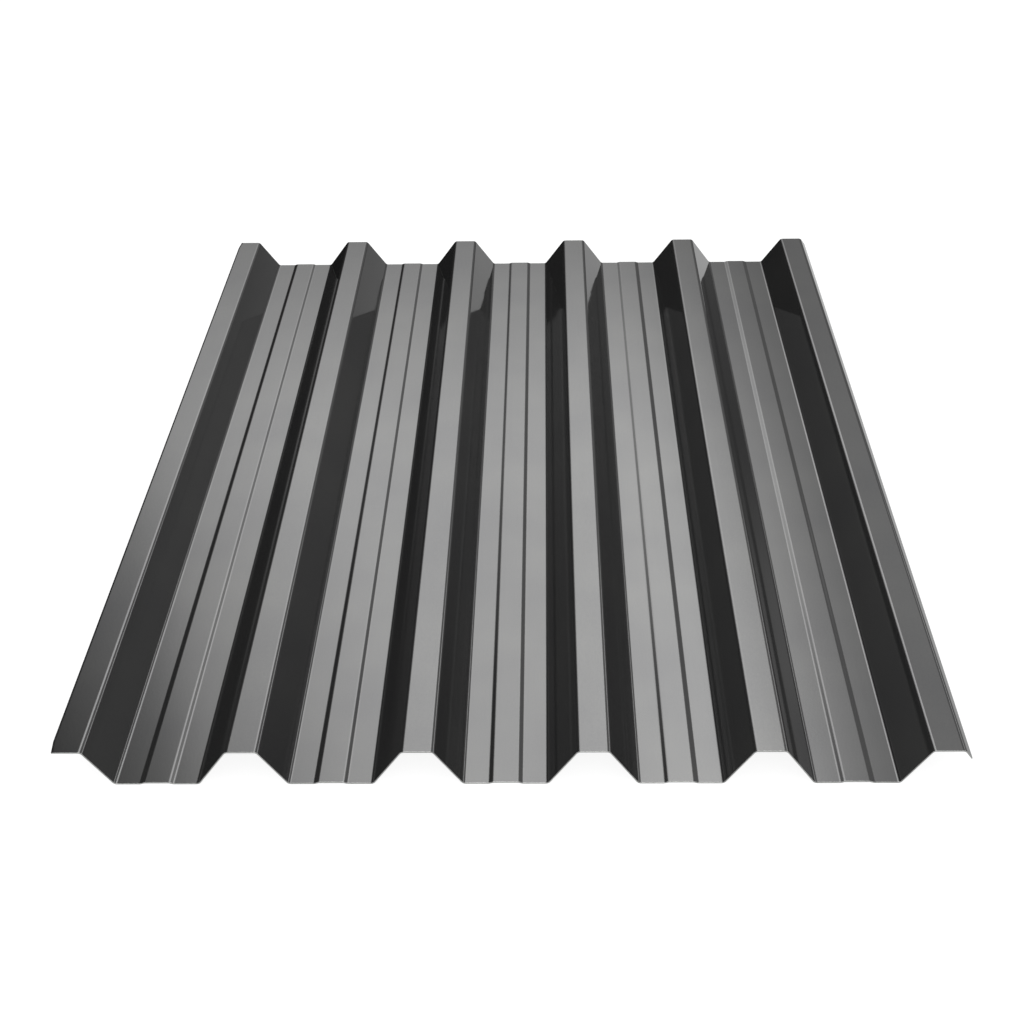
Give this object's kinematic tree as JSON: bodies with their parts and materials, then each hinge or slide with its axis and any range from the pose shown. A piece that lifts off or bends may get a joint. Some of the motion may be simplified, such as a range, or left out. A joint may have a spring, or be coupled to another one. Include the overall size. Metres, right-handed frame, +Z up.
{
  "type": "trapezoidal profiled metal sheet",
  "caption": "Coil-coated steel sheet roll-formed into trapezoidal ribs and wide pans with a low stiffening band, for roofs and walls.",
  "frame": {"origin": "centre of the overall width and length, at the level of the underside of the pans, which the sheet lies on", "axes": "+Z up, out of the painted face; +Y along the ribs; +X across the ribs towards the lapping lip"},
  "size_m": [1.0442, 1.5, 0.0463],
  "materials": {
    "coil_coated_steel": "satin to glossy graphite polyester coil coating on galvanised steel, cut edges bare"
  },
  "bodies": {
    "root": {"profiled_sheet": "coil_coated_steel"}
  },
  "joints": []
}
